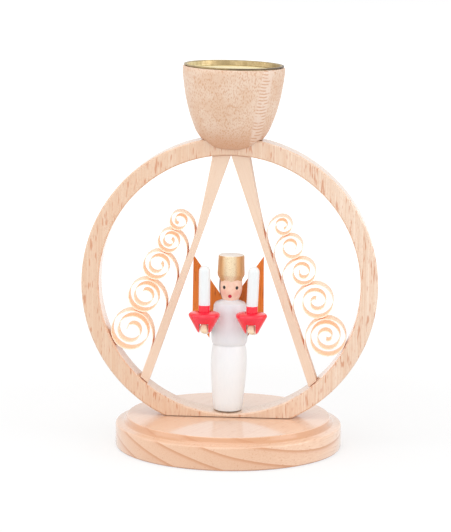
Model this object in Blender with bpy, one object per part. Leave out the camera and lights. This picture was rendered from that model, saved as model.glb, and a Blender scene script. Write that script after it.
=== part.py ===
"""Wooden ring candle holder with an angel and curled shavings, in metres, +Z up.

The base plate's centre is the origin. The viewer looks along +Y and the ring stands across the view.
"""
import math

import bmesh
import bpy
from mathutils import Matrix, Vector

# Clearance between pieces that are glued, seated or pushed together
FIT = 0.0003

# Base plate: a turned disc with a stepped rim
BASE_RADIUS = 0.0480
BASE_HEIGHT = 0.0130
BASE_STEP_HEIGHT = 0.0100
BASE_TOP_RADIUS = 0.0433
BASE_COVE_RADIUS = 0.0023
BASE_EDGE = 0.0008
BASE_STEPS = 64

# Ring: a turned hoop, flat where it stands on the base plate
RING_RADIUS = 0.0625
RING_WALL = 0.0074
RING_DEPTH = 0.0125
RING_FOOT_WALL = 0.0012
RING_EDGE = 0.0006
RING_STEPS = 96

# Struts: two laths that lean together under the top of the ring
STRUT_ANGLE = math.radians(19.15)
STRUT_DEPTH = 0.0100
STRUT_SETBACK = 0.0005
STRUT_TOP_WIDTH = 0.0070
STRUT_WAIST_WIDTH = 0.0024
SHAVING_THICKNESS = 0.0003
SHAVING_END_DEPTH = 0.0082
SHAVING_GAP = 0.0002
CURL_STEPS_PER_TURN = 22
STEM_STEPS = 7

# Shavings of each strut from the top down: outer radius, turns, share of the radius left at the free
# end, how late the curl tightens, how far the coil stands off the strut, how far its root lies below
# its middle, and how much it lies clear of the coil below beyond the least gap
LEFT_CURLS = (
    (0.0045, 1.75, 0.30, 1.40, 0.0040, 0.0050, 0.0000),
    (0.0056, 2.20, 0.20, 1.30, 0.0035, 0.0042, 0.0000),
    (0.0069, 2.15, 0.28, 1.20, 0.0033, 0.0045, 0.0004),
    (0.0078, 2.35, 0.32, 1.20, 0.0027, 0.0034, 0.0000),
    (0.0091, 2.50, 0.22, 1.50, 0.0016, 0.0046, 0.0000),
)
RIGHT_CURLS = (
    (0.0046, 1.75, 0.30, 1.40, 0.0038, 0.0051, 0.0002),
    (0.0056, 1.60, 0.33, 1.50, 0.0031, 0.0039, 0.0003),
    (0.0068, 2.10, 0.20, 1.05, 0.0028, 0.0020, 0.0000),
    (0.0085, 2.30, 0.16, 1.20, 0.0023, 0.0027, 0.0000),
    (0.0087, 2.85, 0.10, 1.50, 0.0014, 0.0022, 0.0000),
)

# Where a coil comes nearest to the ring, to the coil below and to the coil above, in turns
TURN_AT_RING = 0.60
TURN_AT_LOWER_COIL = 0.70
TURN_AT_UPPER_COIL = 0.20

# Candle cup: a turned bowl that straddles the top of the ring, whose flank crosses the ring's outer
# face at this share of the bowl's radius
CUP_RADIUS = 0.0214
CUP_HEIGHT = 0.0345
CUP_FOOT_RADIUS = 0.0060
CUP_SADDLE_REACH = 0.60
CUP_FOOT_DROP = 0.0052
CUP_EDGE = 0.0007
CUP_LEAN = math.radians(1.0)
CUP_STEPS = 44

# Brass pan that a tea light stands in
PAN_RADIUS = 0.0194
PAN_DEPTH = 0.0022
PAN_SHEET = 0.0005
PAN_FLANGE = 0.0010
PAN_STEPS = 44

# Angel: one turned figure, standing on the inside of the ring
ANGEL_SETBACK = 0.0015
ANGEL_OFFSET = -0.0005
ANGEL_LEAN = math.radians(0.8)
ANGEL_HEIGHT = 0.0665
SKIRT_HEIGHT = 0.0285
SKIRT_FOOT_RADIUS = 0.0062
SKIRT_RADIUS = 0.0076
WAIST_RADIUS = 0.0068
TORSO_HEIGHT = 0.0187
TORSO_RADIUS = 0.0077
SHOULDER_RADIUS = 0.0070
NECK_RADIUS = 0.0034
HEAD_HEIGHT = 0.0090
HEAD_RADIUS = 0.0049
CROWN_RADIUS = 0.0057
CROWN_TOP_RADIUS = 0.0055
ANGEL_EDGE = 0.0003
ANGEL_STEPS = 28

# Arms: straight pegs glued to the flanks, rising forward to a hand that holds a socket by its slot
ARM_RADIUS = 0.0023
ARM_RISE = math.radians(12.0)
ARM_TOE_IN = math.radians(1.5)
ARM_LEVEL = 0.0054
ARM_SLEEVE = 0.0114
ARM_REACH = 0.0192
ARM_END_ROUNDING = 0.0012
CUFF_EDGE = 0.0006
HAND_WIDTH = 0.0030
HAND_HEIGHT = 0.0035
HAND_EDGE = 0.0004
ARM_STEPS = 16

# Candle sockets: turned cones with a bore on top and a slot below
SOCKET_RADIUS = 0.0066
SOCKET_FOOT_RADIUS = 0.0030
SOCKET_HEIGHT = 0.0087
SOCKET_EDGE = 0.0010
SOCKET_FOOT_EDGE = 0.0004
SOCKET_RIM_DROP = 0.0008
SOCKET_BORE_DEPTH = 0.0035
SLOT_HEIGHT = 0.0043
SOCKET_STEPS = 28

# Candles: round rods with a domed top
CANDLE_RADIUS = 0.0024
CANDLE_HEIGHT = 0.0228
CANDLE_LEANS = (math.radians(0.0), math.radians(2.2))
CANDLE_EDGE = 0.0002
CANDLE_STEPS = 20

# Wings: one thin plate glued to the angel's back, a little off centre
WING_SHEET = 0.0012
WING_SPAN = 0.0150
WING_TIP_RISE = 0.0216
WING_OUTER_DROP = 0.0242
WING_TAIL_DROP = 0.0358
WING_FLARE = 0.0002
WING_TAIL_OFFSET = 0.0079
WING_TAIL_SLIT = 0.0060
WING_BRIDGE = 0.0075
WING_NOTCH_ABOVE_WAIST = 0.0146
WING_OFFSET = -0.0013

# Heights and radii that follow from the sizes above
RING_INNER = RING_RADIUS - RING_WALL
RING_FOOT_HEIGHT = BASE_HEIGHT + FIT
RING_CENTRE_HEIGHT = RING_FOOT_HEIGHT + RING_FOOT_WALL + RING_INNER
SEAT_RADIUS = RING_INNER - FIT
RING_TOP = RING_CENTRE_HEIGHT + RING_RADIUS
PAN_OUTER = PAN_RADIUS + PAN_SHEET
PAN_SEAT_RADIUS = PAN_OUTER + FIT
ANGEL_SINK = RING_INNER - math.sqrt(RING_INNER ** 2 - SKIRT_FOOT_RADIUS ** 2)
ANGEL_FOOT = RING_CENTRE_HEIGHT - RING_INNER + ANGEL_SINK + FIT
WAIST_HEIGHT = ANGEL_FOOT + SKIRT_HEIGHT
ARM_OFFSET = TORSO_RADIUS + FIT + ARM_RADIUS
SLOT_WIDTH = HAND_WIDTH + 2 * FIT + 2 * math.tan(ARM_TOE_IN) * SOCKET_RADIUS
CANDLE_BORE = CANDLE_RADIUS + FIT


def clear_scene():
    """Removes whatever the scene holds."""
    for item in list(bpy.data.objects):
        bpy.data.objects.remove(item, do_unlink=True)


def finish(name, colour, roughness, metallic=0.0):
    """A plain material in the piece's own colour."""
    material = bpy.data.materials.new(name)
    material.use_nodes = True
    shader = material.node_tree.nodes["Principled BSDF"]
    shader.inputs["Base Color"].default_value = (*colour, 1.0)
    shader.inputs["Roughness"].default_value = roughness
    shader.inputs["Metallic"].default_value = metallic
    material.diffuse_color = (*colour, 1.0)
    return material


def add_object(name, bm, material, smooth_angle=math.radians(35)):
    """Turns the bmesh into a named object with outward normals and smooth round faces."""
    bmesh.ops.recalc_face_normals(bm, faces=bm.faces)
    mesh = bpy.data.meshes.new(name)
    bm.to_mesh(mesh)
    bm.free()
    mesh.shade_smooth()
    mesh.set_sharp_from_angle(angle=smooth_angle)
    if material:
        mesh.materials.append(material)
    obj = bpy.data.objects.new(name, mesh)
    bpy.context.scene.collection.objects.link(obj)
    return obj


def arc(centre, radius, start, end, count):
    """Points on an arc, from one angle in degrees to another, both ends included."""
    points = []
    for i in range(count + 1):
        angle = math.radians(start + (end - start) * i / count)
        points.append((centre[0] + radius * math.cos(angle), centre[1] + radius * math.sin(angle)))
    return points


def smooth_curve(points, count):
    """A smooth curve through the points, with this many steps between neighbours."""
    result = []
    for i in range(len(points) - 1):
        a = Vector(points[max(i - 1, 0)])
        b = Vector(points[i])
        c = Vector(points[i + 1])
        d = Vector(points[min(i + 2, len(points) - 1)])
        for j in range(count):
            t = j / count
            along = (c - a) * t + (2 * a - 5 * b + 4 * c - d) * t * t + (3 * b - a - 3 * c + d) * t ** 3
            result.append(tuple(b + along / 2))
    result.append(tuple(points[-1]))
    return result


def spin_outline(points, centre, axis, steps, closed):
    """Spins an outline once round the axis into one closed body."""
    bm = bmesh.new()
    verts = [bm.verts.new(p) for p in points]
    edges = [bm.edges.new(pair) for pair in zip(verts, verts[1:])]
    if closed:
        edges.append(bm.edges.new((verts[-1], verts[0])))
    bmesh.ops.spin(bm, geom=verts + edges, cent=centre, axis=axis, angle=2 * math.pi, steps=steps,
                   use_merge=True)
    bmesh.ops.remove_doubles(bm, verts=bm.verts, dist=1e-7)
    return bm


def turned(name, profile, steps, material):
    """A turned piece from its half profile of radius and height, axis to axis."""
    points = [(radius, 0.0, height) for radius, height in profile]
    bm = spin_outline(points, (0, 0, 0), (0, 0, 1), steps, closed=False)
    return add_object(name, bm, material)


def prism(outline, front, back):
    """A closed body between two planes across Y, from an outline of X and Z."""
    bm = bmesh.new()
    face = bm.faces.new([bm.verts.new((x, front, z)) for x, z in outline])
    extruded = bmesh.ops.extrude_face_region(bm, geom=[face])
    moved = [item for item in extruded["geom"] if isinstance(item, bmesh.types.BMVert)]
    bmesh.ops.translate(bm, verts=moved, vec=(0, back - front, 0))
    return bm


def cut(target, cutter):
    """Cuts the cutter's shape out of the target."""
    cutter.hide_render = True
    cutter.display_type = "WIRE"
    modifier = target.modifiers.new("cut_" + cutter.name, "BOOLEAN")
    modifier.operation = "DIFFERENCE"
    modifier.solver = "EXACT"
    modifier.object = cutter


def hoop(inner, outer, depth, edge):
    """A hoop's body about the ring's axis, with softened edges."""
    half = depth / 2
    section = arc((outer - edge, half - edge), edge, 0, 90, 1)
    section += arc((inner + edge, half - edge), edge, 90, 180, 1)
    section += arc((inner + edge, edge - half), edge, 180, 270, 1)
    section += arc((outer - edge, edge - half), edge, 270, 360, 1)
    points = [(radius, y, RING_CENTRE_HEIGHT) for radius, y in section]
    return spin_outline(points, (0, 0, RING_CENTRE_HEIGHT), (0, 1, 0), RING_STEPS, closed=True)


def make_base_plate(material):
    """The stepped disc that everything stands on."""
    edge = BASE_EDGE
    cove_top = BASE_HEIGHT - edge / 2
    profile = [(0.0, 0.0)]
    profile += arc((BASE_RADIUS - edge, edge), edge, -90, 0, 2)
    profile += arc((BASE_RADIUS - edge, BASE_STEP_HEIGHT - edge), edge, 0, 80, 3)
    cove_centre = (BASE_TOP_RADIUS + BASE_COVE_RADIUS, cove_top)
    cove_depth = cove_top - BASE_STEP_HEIGHT
    for angle in (270, 240, 210, 180):
        turn = math.radians(angle)
        profile.append((cove_centre[0] + BASE_COVE_RADIUS * math.cos(turn),
                        cove_centre[1] + cove_depth * math.sin(turn)))
    profile.append((BASE_TOP_RADIUS - edge / 2, BASE_HEIGHT))
    profile.append((0.0, BASE_HEIGHT))
    return turned("base_plate", profile, BASE_STEPS, material)


def make_ring(material):
    """The hoop, cut flat below where it stands on the base plate."""
    bm = hoop(RING_INNER, RING_RADIUS, RING_DEPTH, RING_EDGE)
    geometry = bm.verts[:] + bm.edges[:] + bm.faces[:]
    bmesh.ops.bisect_plane(bm, geom=geometry, plane_co=(0, 0, RING_FOOT_HEIGHT), plane_no=(0, 0, 1),
                           clear_inner=True)
    bmesh.ops.holes_fill(bm, edges=[edge for edge in bm.edges if edge.is_boundary])
    return add_object("ring", bm, material)


def strut_point(along, out):
    """A point of the right strut: distance down its inner edge and distance out from that edge."""
    down = Vector((math.sin(STRUT_ANGLE), -math.cos(STRUT_ANGLE)))
    outward = Vector((math.cos(STRUT_ANGLE), math.sin(STRUT_ANGLE)))
    apex = Vector((FIT / 2, RING_CENTRE_HEIGHT + SEAT_RADIUS))
    return apex + down * along + outward * out


def off_centre(along, out):
    """How far a point of the strut lies from the ring's axis."""
    return (strut_point(along, out) - Vector((0, RING_CENTRE_HEIGHT))).length


def solve(function, low, high):
    """Where a function that changes sign once between two values is zero."""
    rising = function(high) > function(low)
    for _ in range(50):
        middle = (low + high) / 2
        if (function(middle) > 0) == rising:
            high = middle
        else:
            low = middle
    return (low + high) / 2


def strut_end(out, upper):
    """Where the strut's edge at this distance out meets the inside of the ring."""
    if upper:
        return solve(lambda s: off_centre(s, out) - SEAT_RADIUS, -RING_INNER / 2, RING_INNER / 2)
    return solve(lambda s: off_centre(s, out) - SEAT_RADIUS, RING_INNER, 3 * RING_INNER)


class Shaving:
    """One curled shaving of the right strut, in the strut's own directions."""

    def __init__(self, radius, turns, tightness, lateness, stand_off, root_drop, extra_gap):
        self.radius = radius
        self.turns = turns
        self.tightness = tightness
        self.lateness = lateness
        self.stand_off = stand_off
        self.root_drop = root_drop
        self.extra_gap = extra_gap
        self.face = 0.0
        self.along = 0.0

    def radius_at(self, turn):
        """Radius of the coil after this many turns."""
        share = turn / self.turns
        return self.radius * (1 - (1 - self.tightness) * share ** self.lateness)

    def centre(self, along):
        """Centre of the coil when it lies this far down the strut."""
        return strut_point(along, self.face + self.stand_off + self.radius)

    @property
    def root(self):
        """How far down the strut the shaving leaves the wood."""
        return self.along + self.root_drop

    def path(self):
        """Centre line from the root to the free end: a stem that bends up and over, then the coil."""
        outward = strut_point(0, 1) - strut_point(0, 0)
        upward = strut_point(-1, 0) - strut_point(0, 0)
        centre = self.centre(self.along)
        quarter = 1 / 4
        root = strut_point(self.root, self.face + SHAVING_THICKNESS / 2)
        top = centre + upward * self.radius_at(quarter)
        rise = (top - root).dot(upward)
        run = (top - root).dot(outward)
        points = []
        for i in range(1, STEM_STEPS):
            angle = math.pi / 2 * i / STEM_STEPS
            points.append(root + upward * (rise * math.sin(angle)) + outward * (run * (1 - math.cos(angle))))
        coiled = self.turns - quarter
        count = math.ceil(coiled * CURL_STEPS_PER_TURN)
        for i in range(count + 1):
            turn = quarter + coiled * i / count
            angle = 2 * math.pi * turn
            arm = upward * math.sin(angle) - outward * math.cos(angle)
            points.append(centre + arm * self.radius_at(turn))
        return points


def place_shavings(specs):
    """Stacks the coils from the ring upwards, each just clear of its neighbour below."""
    shavings = [Shaving(*spec) for spec in specs]
    for i, shaving in enumerate(shavings):
        shaving.face = STRUT_WAIST_WIDTH + i * SHAVING_THICKNESS
    lowest = shavings[-1]
    reach = lowest.radius_at(TURN_AT_RING) + SHAVING_THICKNESS / 2 + SHAVING_GAP
    centre = Vector((0, RING_CENTRE_HEIGHT))
    lowest.along = solve(lambda s: (lowest.centre(s) - centre).length + reach - RING_INNER,
                         RING_INNER, 2.2 * RING_INNER)
    for upper, lower in zip(shavings[-2::-1], shavings[:0:-1]):
        spacing = upper.radius_at(TURN_AT_LOWER_COIL) + lower.radius_at(TURN_AT_UPPER_COIL)
        spacing += SHAVING_THICKNESS + SHAVING_GAP + upper.extra_gap
        below = lower.centre(lower.along)
        upper.along = solve(lambda s: spacing - (upper.centre(s) - below).length,
                            lower.along - 2 * spacing, lower.along - spacing / 3)
    return shavings


def add_shaving(bm, path, root_edge, mirror):
    """Grows a ribbon along the path from the strut's edge at its root, and caps its free end."""
    previous = root_edge
    count = len(path)
    for i, point in enumerate(path):
        before = path[max(i - 1, 0)]
        after = path[min(i + 1, count - 1)]
        along = (after - before).normalized()
        side = Vector((-along.y, along.x)) * (SHAVING_THICKNESS / 2)
        depth = STRUT_DEPTH + (SHAVING_END_DEPTH - STRUT_DEPTH) * (i + 1) / count
        section = []
        for y in (STRUT_SETBACK - depth / 2, STRUT_SETBACK + depth / 2):
            for corner in (point + side, point - side):
                section.append(bm.verts.new((mirror * corner.x, y, corner.y)))
        for a, b in ((0, 1), (1, 3), (3, 2), (2, 0)):
            bm.faces.new((previous[a], previous[b], section[b], section[a]))
        previous = section
    bm.faces.new((previous[0], previous[1], previous[3], previous[2]))


def make_curl_strut(name, specs, mirror, material):
    """A lath with five shavings cut down its outer side, all one piece of wood."""
    shavings = place_shavings(specs)
    first_root = shavings[0].root
    outline = []
    top = strut_end(STRUT_TOP_WIDTH, upper=True)
    for i in range(7):
        share = i / 6
        outline.append((top + (first_root - top) * share,
                        STRUT_WAIST_WIDTH + (STRUT_TOP_WIDTH - STRUT_WAIST_WIDTH) * (1 - share) ** 1.25))
    roots = {}
    for i, shaving in enumerate(shavings):
        if i:
            outline.append((shaving.root, shaving.face))
        roots[len(outline) - 1] = shaving
        outline.append((shaving.root + SHAVING_THICKNESS, shaving.face + SHAVING_THICKNESS))
    foot_width = shavings[-1].face + SHAVING_THICKNESS
    for i in range(4):
        out = foot_width * (1 - i / 3)
        outline.append((strut_end(out, upper=False), out))
    for i in range(4):
        out = STRUT_TOP_WIDTH * i / 4
        outline.append((strut_end(out, upper=True), out))

    bm = bmesh.new()
    rows = []
    for y in (STRUT_SETBACK - STRUT_DEPTH / 2, STRUT_SETBACK + STRUT_DEPTH / 2):
        points = [strut_point(along, out) for along, out in outline]
        rows.append([bm.verts.new((mirror * p.x, y, p.y)) for p in points])
    front, back = rows
    bm.faces.new(front)
    bm.faces.new(back)
    count = len(outline)
    for i in range(count):
        j = (i + 1) % count
        if i in roots:
            add_shaving(bm, roots[i].path(), (front[i], front[j], back[i], back[j]), mirror)
        else:
            bm.faces.new((front[i], front[j], back[j], back[i]))
    return add_object(name, bm, material)


def cup_place():
    """The lean of the candle cup about the top of the ring."""
    foot = RING_TOP - CUP_FOOT_DROP
    return Matrix.Translation((0, 0, foot)) @ Matrix.Rotation(CUP_LEAN, 4, "Y")


def make_candle_cup(material):
    """The bowl, hollowed for the pan and slotted to straddle the ring."""
    wide = CUP_RADIUS
    rim = CUP_HEIGHT
    saddle = CUP_SADDLE_REACH * wide
    saddle_drop = RING_RADIUS - math.sqrt(RING_RADIUS ** 2 - saddle ** 2)
    shoulder = CUP_FOOT_DROP - saddle_drop
    flank = [
        (CUP_FOOT_RADIUS, 0.0),
        (0.40 * wide, 0.20 * shoulder),
        (0.50 * wide, 0.55 * shoulder),
        (saddle, 1.08 * shoulder),
        (0.71 * wide, 0.215 * rim),
        (0.79 * wide, 0.335 * rim),
        (0.86 * wide, 0.46 * rim),
        (0.93 * wide, 0.64 * rim),
        (0.98 * wide, 0.83 * rim),
        (wide, rim - 3 * CUP_EDGE),
    ]
    profile = [(0.0, 0.0)]
    profile += smooth_curve(flank, 2)
    profile += arc((wide - CUP_EDGE, rim - CUP_EDGE), CUP_EDGE, 15, 90, 3)
    profile.append((PAN_SEAT_RADIUS, rim))
    profile.append((PAN_SEAT_RADIUS, rim - PAN_DEPTH - PAN_SHEET))
    profile.append((0.0, rim - PAN_DEPTH - PAN_SHEET))
    cup = turned("candle_cup", profile, CUP_STEPS, material)
    cup.matrix_world = cup_place()
    slot = hoop(RING_INNER / 2, RING_RADIUS + FIT, RING_DEPTH + 2 * FIT, RING_EDGE)
    cut(cup, add_object("ring_clearance", slot, None))
    return cup


def make_cup_insert(material):
    """The brass pan with its flange over the rim of the cup."""
    sheet = PAN_SHEET
    flange = PAN_OUTER + PAN_FLANGE
    under = CUP_HEIGHT + FIT
    top = under + sheet
    floor = top - PAN_DEPTH
    profile = [(0.0, floor - sheet), (PAN_OUTER - sheet, floor - sheet), (PAN_OUTER, floor)]
    profile.append((PAN_OUTER, under))
    profile += arc((flange - sheet / 2, under + sheet / 2), sheet / 2, -90, 90, 4)
    profile += arc((PAN_RADIUS + sheet, top - sheet), sheet, 90, 180, 2)
    profile += arc((PAN_RADIUS - sheet, floor + sheet), sheet, 0, -90, 2)
    profile.append((0.0, floor))
    insert = turned("cup_insert", profile, PAN_STEPS, material)
    insert.matrix_world = cup_place()
    return insert


def angel_place():
    """The spot where the angel stands, with its small lean."""
    foot = Matrix.Translation((ANGEL_OFFSET, ANGEL_SETBACK, ANGEL_FOOT))
    return foot @ Matrix.Rotation(ANGEL_LEAN, 4, "Y")


def make_angel(material):
    """Skirt, torso, head and crown, turned in one piece."""
    waist = SKIRT_HEIGHT
    shoulder = waist + TORSO_HEIGHT
    chin = shoulder + HEAD_HEIGHT * 0.02
    brow = shoulder + HEAD_HEIGHT
    skirt = [
        (SKIRT_FOOT_RADIUS, 0.02 * waist),
        (SKIRT_RADIUS * 0.90, 0.25 * waist),
        (SKIRT_RADIUS * 0.985, 0.55 * waist),
        (SKIRT_RADIUS, 0.74 * waist),
        (SKIRT_RADIUS * 0.97, 0.90 * waist),
        (WAIST_RADIUS, waist),
    ]
    torso = [
        (TORSO_RADIUS * 0.945, waist + 0.01 * TORSO_HEIGHT),
        (TORSO_RADIUS * 0.99, waist + 0.08 * TORSO_HEIGHT),
        (TORSO_RADIUS, waist + 0.25 * TORSO_HEIGHT),
        (TORSO_RADIUS * 0.965, waist + 0.60 * TORSO_HEIGHT),
        (SHOULDER_RADIUS, waist + 0.88 * TORSO_HEIGHT),
    ]
    shoulders = [
        (SHOULDER_RADIUS * 0.90, waist + 0.94 * TORSO_HEIGHT),
        (NECK_RADIUS + 0.25 * (SHOULDER_RADIUS - NECK_RADIUS), waist + 0.985 * TORSO_HEIGHT),
        (NECK_RADIUS, shoulder),
    ]
    head = [
        (NECK_RADIUS, chin),
        (HEAD_RADIUS * 0.83, chin + 0.15 * HEAD_HEIGHT),
        (HEAD_RADIUS * 0.96, chin + 0.36 * HEAD_HEIGHT),
        (HEAD_RADIUS, chin + 0.58 * HEAD_HEIGHT),
        (HEAD_RADIUS * 0.98, brow),
    ]
    crown_rise = ANGEL_HEIGHT - brow
    crown = [
        (CROWN_RADIUS, brow + 0.16 * crown_rise),
        (CROWN_RADIUS * 1.01, brow + 0.24 * crown_rise),
        (CROWN_RADIUS * 0.985, brow + 0.60 * crown_rise),
        (CROWN_TOP_RADIUS, ANGEL_HEIGHT - ANGEL_EDGE),
        (CROWN_TOP_RADIUS - ANGEL_EDGE, ANGEL_HEIGHT),
    ]
    profile = [(0.0, 0.0), (SKIRT_FOOT_RADIUS - ANGEL_EDGE, 0.0)]
    profile += smooth_curve(skirt, 2)
    profile += smooth_curve(torso, 2)
    profile += shoulders
    profile += smooth_curve(head, 2)
    profile += crown
    profile.append((0.0, ANGEL_HEIGHT))
    angel = turned("angel_figure", profile, ANGEL_STEPS, material)
    angel.matrix_world = angel_place()
    return angel


def wing_outline():
    """The plate's outline: two raised wing tips and two tail tips."""
    notch = WAIST_HEIGHT + WING_NOTCH_ABOVE_WAIST
    tip = notch + WING_TIP_RISE
    right = [
        (WING_SPAN, tip),
        (WING_SPAN + WING_FLARE, tip - WING_OUTER_DROP),
        (WING_TAIL_OFFSET, tip - WING_TAIL_DROP),
        (WING_TAIL_OFFSET - WING_FLARE, tip - WING_TAIL_DROP + WING_TAIL_SLIT),
    ]
    left = [(-x, z) for x, z in reversed(right)]
    return [(0.0, notch)] + right + [(0.0, notch - WING_BRIDGE)] + left


def make_wings(material):
    """The thin plate behind the angel."""
    front = ANGEL_SETBACK + TORSO_RADIUS + FIT
    outline = [(x + WING_OFFSET, z) for x, z in wing_outline()]
    return add_object("angel_wings", prism(outline, front, front + WING_SHEET), material)


def arm_place(mirror):
    """An arm's frame: origin at the elbow end, local -Y along the arm to the hand."""
    elbow = (mirror * ARM_OFFSET, ANGEL_SETBACK + ARM_RADIUS, WAIST_HEIGHT + ARM_LEVEL)
    turn = Matrix.Rotation(-mirror * ARM_TOE_IN, 4, "Z") @ Matrix.Rotation(-ARM_RISE, 4, "X")
    return Matrix.Translation(elbow) @ turn


def make_arm(name, mirror, material):
    """A sleeve that narrows to the hand, lofted through sections along the arm."""
    cuff = ARM_SLEEVE
    radius = ARM_RADIUS
    half_hand = HAND_WIDTH / 2
    half_height = HAND_HEIGHT / 2
    sections = [
        (0.0000, radius * 0.55, radius * 0.55, 2.0),
        (ARM_END_ROUNDING / 3, radius * 0.85, radius * 0.85, 2.0),
        (ARM_END_ROUNDING, radius, radius, 2.0),
        (cuff - CUFF_EDGE, radius, radius, 2.0),
        (cuff, radius * 0.90, radius * 0.90, 2.0),
        (cuff, half_hand, half_height, 4.0),
        (ARM_REACH - HAND_EDGE, half_hand, half_height, 4.0),
        (ARM_REACH, half_hand * 0.75, half_height * 0.75, 3.0),
    ]
    bm = bmesh.new()
    rows = []
    for reach, wide, high, power in sections:
        row = []
        for i in range(ARM_STEPS):
            angle = 2 * math.pi * (i + 0.5) / ARM_STEPS
            c, s = math.cos(angle), math.sin(angle)
            x = wide * math.copysign(abs(c) ** (2 / power), c)
            z = high * math.copysign(abs(s) ** (2 / power), s)
            row.append(bm.verts.new((x, -reach, z)))
        rows.append(row)
    for lower, upper in zip(rows, rows[1:]):
        for i in range(ARM_STEPS):
            j = (i + 1) % ARM_STEPS
            bm.faces.new((lower[i], lower[j], upper[j], upper[i]))
    bm.faces.new(rows[0])
    bm.faces.new(rows[-1])
    arm = add_object(name, bm, material)
    arm.matrix_world = arm_place(mirror)
    return arm


def socket_base(mirror):
    """Centre of a socket's underside, with its slot seated on the hand."""
    hand = arm_place(mirror)
    middle = hand @ Vector((0, SOCKET_FOOT_RADIUS - ARM_REACH, 0))
    fingertips = hand @ Vector((0, -ARM_REACH, HAND_HEIGHT / 2))
    return Vector((middle.x, middle.y, fingertips.z + FIT - SLOT_HEIGHT))


def make_socket(name, mirror, material):
    """A cone with a bore for the candle and a slot below for the hand."""
    high = SOCKET_HEIGHT
    edge = SOCKET_EDGE
    rim = high - SOCKET_RIM_DROP
    profile = [(0.0, 0.0), (SOCKET_FOOT_RADIUS - SOCKET_FOOT_EDGE, 0.0),
               (SOCKET_FOOT_RADIUS, SOCKET_FOOT_EDGE)]
    profile += arc((SOCKET_RADIUS - edge, rim - edge * 0.6), edge, -25, 80, 5)
    profile.append((CANDLE_BORE, high))
    profile.append((CANDLE_BORE, high - SOCKET_BORE_DEPTH))
    profile.append((0.0, high - SOCKET_BORE_DEPTH))
    socket = turned(name, profile, SOCKET_STEPS, material)
    socket.location = socket_base(mirror)
    bm = bmesh.new()
    size = (SLOT_WIDTH, 3 * SOCKET_RADIUS, 2 * SLOT_HEIGHT)
    bmesh.ops.create_cube(bm, size=1.0, matrix=Matrix.Diagonal((*size, 1.0)))
    slot = add_object(name + "_slot", bm, None)
    slot.location = socket.location
    cut(socket, slot)
    return socket


def make_candle(name, mirror, lean, material):
    """A round rod with a domed top, standing in the socket's bore."""
    dome = arc((0.0, CANDLE_HEIGHT - CANDLE_RADIUS), CANDLE_RADIUS, 0, 90, 5)
    profile = [(0.0, 0.0), (CANDLE_RADIUS - CANDLE_EDGE, 0.0), (CANDLE_RADIUS, CANDLE_EDGE)] + dome
    profile[-1] = (0.0, CANDLE_HEIGHT)
    candle = turned(name, profile, CANDLE_STEPS, material)
    bottom = SOCKET_HEIGHT - SOCKET_BORE_DEPTH + FIT
    candle.location = socket_base(mirror) + Vector((0, 0, bottom))
    candle.rotation_euler = (0, lean, 0)
    return candle


def main():
    """Builds every piece."""
    clear_scene()
    beech = finish("beech", (0.83, 0.62, 0.45), 0.55)
    lime = finish("lime_wood", (0.88, 0.72, 0.54), 0.6)
    brass = finish("brass", (0.80, 0.62, 0.32), 0.25, 1.0)
    white = finish("white_paint", (0.86, 0.85, 0.85), 0.4)
    red = finish("red_paint", (0.85, 0.06, 0.10), 0.35)
    stain = finish("orange_stain", (0.62, 0.19, 0.04), 0.55)
    make_base_plate(beech)
    make_ring(beech)
    make_curl_strut("curl_strut_left", LEFT_CURLS, -1, lime)
    make_curl_strut("curl_strut_right", RIGHT_CURLS, 1, lime)
    make_candle_cup(beech)
    make_cup_insert(brass)
    make_angel(white)
    make_wings(stain)
    for side, mirror, lean in (("left", -1, CANDLE_LEANS[0]), ("right", 1, CANDLE_LEANS[1])):
        make_arm("arm_" + side, mirror, white)
        make_socket("candle_socket_" + side, mirror, red)
        make_candle("candle_" + side, mirror, lean, white)


main()
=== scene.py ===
"""Looks of the wooden angel candle holder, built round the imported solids.

Positions are world metres: +Z up, the viewer looks along +Y, the origin is under the base plate.
The finishes measure in millimetres in the same frame.
"""
from __future__ import annotations

import logging
import math
from dataclasses import dataclass, field
from enum import Enum
from typing import Any, Protocol

import bpy
from mathutils import Matrix, Vector


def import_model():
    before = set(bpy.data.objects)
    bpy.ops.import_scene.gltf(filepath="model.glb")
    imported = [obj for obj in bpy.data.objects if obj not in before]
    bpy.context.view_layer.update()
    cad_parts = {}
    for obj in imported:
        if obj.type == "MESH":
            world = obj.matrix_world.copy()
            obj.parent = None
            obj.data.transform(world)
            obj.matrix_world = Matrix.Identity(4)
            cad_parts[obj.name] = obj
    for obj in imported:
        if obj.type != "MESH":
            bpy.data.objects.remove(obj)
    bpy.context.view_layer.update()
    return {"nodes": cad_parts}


LOG = logging.getLogger("candle_holder")
MM = 0.001

Colour = tuple[float, float, float, float]
Triple = tuple[float, float, float]
Pair = tuple[float, float]
Socket = bpy.types.NodeSocket
Tree = bpy.types.NodeTree
Material = bpy.types.Material

BLACK: Colour = (0.0, 0.0, 0.0, 1.0)
WHITE: Colour = (1.0, 1.0, 1.0, 1.0)


def srgb(red: int, green: int, blue: int) -> Colour:
    """Converts an 8-bit display colour to linear light.

    Args:
        red: from 0 to 255.
        green: from 0 to 255.
        blue: from 0 to 255.

    Returns:
        The linear colour with full alpha.
    """
    linear = []
    for channel in (red, green, blue):
        value = channel / 255
        linear.append(value / 12.92 if value <= 0.04045 else ((value + 0.055) / 1.055) ** 2.4)
    return (linear[0], linear[1], linear[2], 1.0)


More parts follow.
